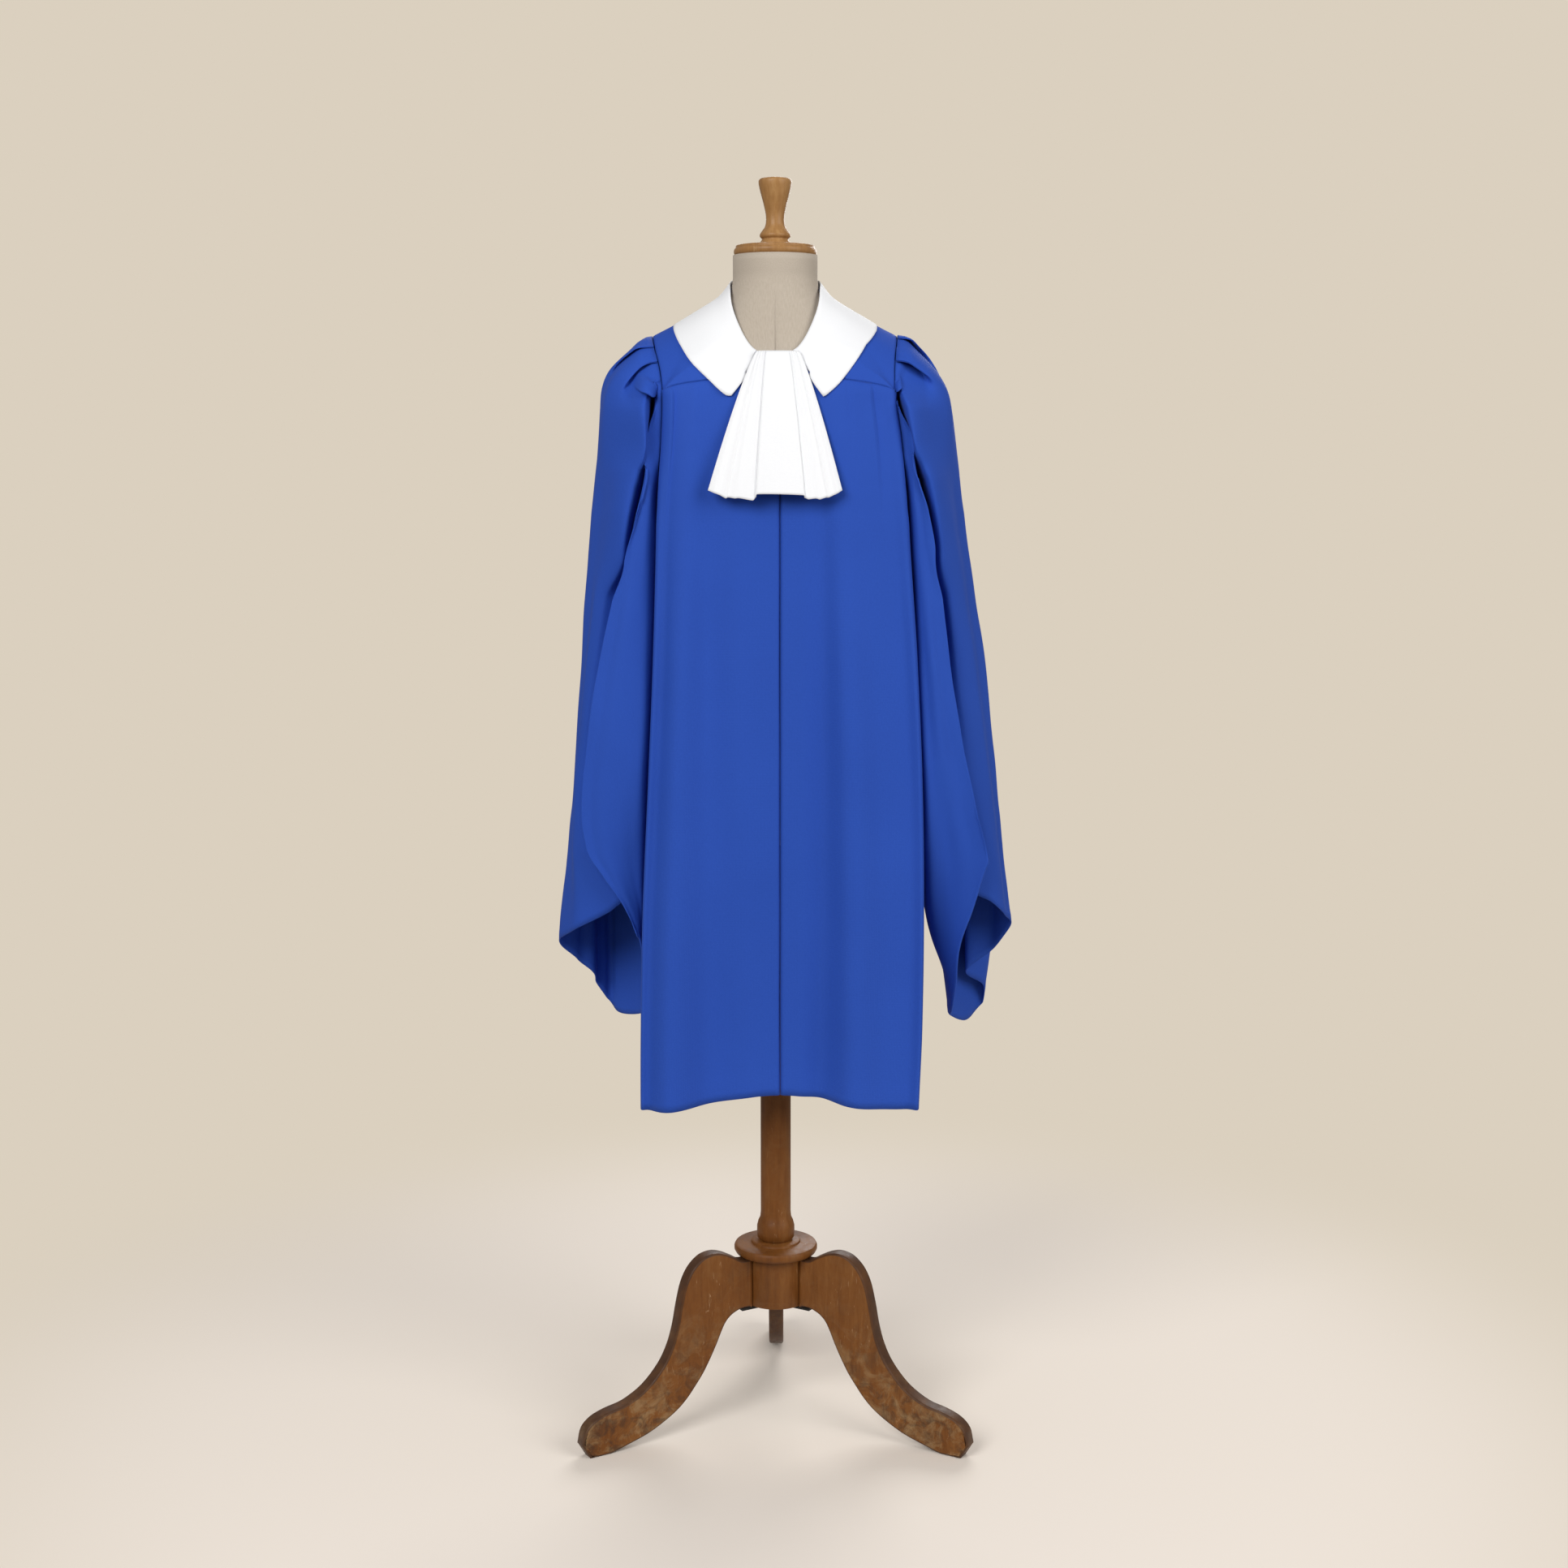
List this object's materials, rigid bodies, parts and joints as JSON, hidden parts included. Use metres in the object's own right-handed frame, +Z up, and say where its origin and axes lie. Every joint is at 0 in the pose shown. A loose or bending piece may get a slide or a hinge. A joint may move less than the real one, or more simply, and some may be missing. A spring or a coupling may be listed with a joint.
{
  "type": "choir dress on dress form",
  "caption": "Floor-length blue choir dress with wide open sleeves, a flat white collar and a pleated white jabot, shown on a linen dress form with a turned finial and a wooden tripod stand.",
  "frame": {"origin": "middle of the bounding box's underside, at the height of the feet's soles", "axes": "+Z up, -Y the way the dress faces, +X to the right of someone who looks at its front"},
  "size_m": [0.5834, 0.438, 1.6],
  "materials": {
    "blue_cloth": "matt plain weave",
    "white_cloth": "crisp smooth weave",
    "linen": "coarse linen",
    "golden_wood": "satin lacquer",
    "brown_wood": "satin stain",
    "iron": "painted black"
  },
  "bodies": {
    "root": {"back": "blue_cloth", "front_left": "blue_cloth", "front_right": "blue_cloth", "yoke": "blue_cloth", "sleeve_left": "blue_cloth", "sleeve_right": "blue_cloth", "collar": "white_cloth", "jabot": "white_cloth", "dress_form": "linen", "neck_cap": "golden_wood", "finial": "golden_wood", "pole": "brown_wood", "hub_ring": "brown_wood", "hub": "brown_wood", "iron_plate": "iron", "leg_left": "brown_wood", "leg_right": "brown_wood", "leg_back": "brown_wood"}
  },
  "joints": []
}
